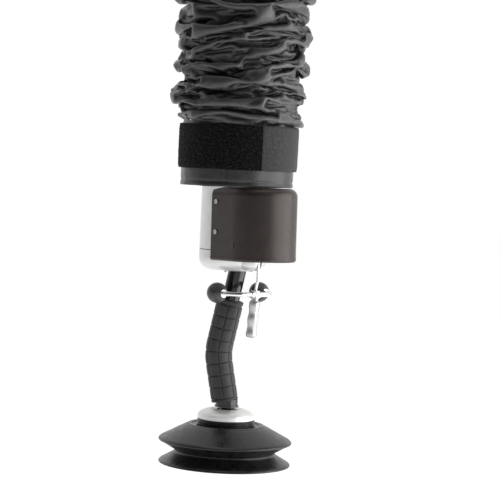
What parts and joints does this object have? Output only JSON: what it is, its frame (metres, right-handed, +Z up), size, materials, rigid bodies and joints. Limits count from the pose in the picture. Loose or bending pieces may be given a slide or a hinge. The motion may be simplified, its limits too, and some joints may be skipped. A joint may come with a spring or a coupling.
{
  "type": "vacuum tube lifter",
  "caption": "Hanging vacuum tube lifter: gathered black sleeve, strapped cuff, silver valve housing with dark cover, bent one-hand grip with trigger, double-lip suction cup.",
  "frame": {"origin": "centre of the suspension eye's bore, from which the lifter hangs", "axes": "+Z up along the lift tube; +X towards the valve cover and trigger; +Y to the operator's left when the cover faces away"},
  "size_m": [0.2188, 0.192, 0.8306],
  "materials": {
    "steel": "satin machined steel",
    "aluminium": "fine turned, satin",
    "silver_paint": "silver-grey satin enamel",
    "black_gloss": "gloss black enamel",
    "chrome": "bright polished plating",
    "brass": "turned",
    "cover_plastic": "fine moulded texture, brown-black",
    "knob_plastic": "moulded, lightly polished",
    "white_plastic": "slide-bearing plastic",
    "black_rubber": "matte",
    "cup_rubber": "satin moulded rubber",
    "grip_rubber": "grooved soft grip, matte",
    "coated_fabric": "coated black cloth with a soft gloss",
    "loop_fabric": "fuzzy loop pile",
    "webbing": "ribbed webbing"
  },
  "bodies": {
    "hanger": {"suspension_eye": "steel", "swivel_head": "aluminium", "hose_nipple": "aluminium", "bearing_outer_ring": "steel", "bearing_balls": "steel", "bearing_retainer": "aluminium", "head_screws": "steel", "swivel_seal": "black_rubber"},
    "tube_top": {"swivel_spigot": "aluminium", "bearing_inner_ring": "steel", "bearing_nut": "steel", "upper_cuff": "coated_fabric", "upper_strap": "loop_fabric", "upper_strap_tab": "webbing", "lift_hose": "coated_fabric", "hose_spring": "steel", "dust_sleeve": "coated_fabric"},
    "operator": {"hose_flange": "aluminium", "lower_cuff": "coated_fabric", "lower_strap": "loop_fabric", "lower_strap_tab": "webbing", "housing_tube": "silver_paint", "bowl": "silver_paint", "bowl_gasket": "black_rubber", "bowl_screws": "steel", "valve_block": "silver_paint", "valve_seat": "brass", "pivot_pin": "steel", "return_spring": "steel", "valve_cover": "cover_plastic", "cover_screws": "steel", "handle_tube": "black_gloss", "tube_set_screw": "steel", "grip_sleeve": "grip_rubber", "ball_stem": "black_gloss"},
    "lever": {"control_arm": "chrome", "valve_flap": "aluminium", "flap_seal": "black_rubber", "yoke_rod": "chrome", "lever_hub": "chrome", "knob_ferrules": "chrome", "ball_knob_left": "knob_plastic", "ball_knob_right": "knob_plastic", "trigger_grip": "chrome"},
    "ball_liner": {"ball_seat": "white_plastic"},
    "dome_head": {"dome_cap": "aluminium", "swivel_hub": "steel", "hub_nut": "steel", "filter_sieve": "steel"},
    "cup": {"cup_collar": "cup_rubber", "suction_cup": "cup_rubber", "insert_plate": "aluminium", "insert_screws": "steel"}
  },
  "joints": [
    {"name": "top_swivel", "type": "hinge", "parent": "hanger", "child": "tube_top", "pos_m": [0, 0, -0.064], "axis": [0, 0, 1], "continuous": true},
    {"name": "lift_travel", "type": "slide", "parent": "tube_top", "child": "operator", "axis": [0, 0, -1], "range_m": [0, 0.32], "deforming": ["lift_hose", "hose_spring", "dust_sleeve"]},
    {"name": "control_lever", "type": "hinge", "parent": "operator", "child": "lever", "pos_m": [0.055, 0, -0.512], "axis": [0, 1, 0], "range_deg": [0, 13], "stiffness_Nm_per_rad": 0.8, "springref_deg": -11.46},
    {"name": "cup_tilt_side", "type": "hinge", "parent": "operator", "child": "ball_liner", "pos_m": [0, 0, -0.7443], "axis": [1, 0, 0], "range_deg": [-7, 7]},
    {"name": "cup_tilt_fore", "type": "hinge", "parent": "ball_liner", "child": "dome_head", "pos_m": [0, 0, -0.7443], "axis": [0, 1, 0], "range_deg": [-7, 7]},
    {"name": "cup_swivel", "type": "hinge", "parent": "dome_head", "child": "cup", "pos_m": [0, 0, -0.7584], "axis": [0, 0, 1], "continuous": true}
  ]
}
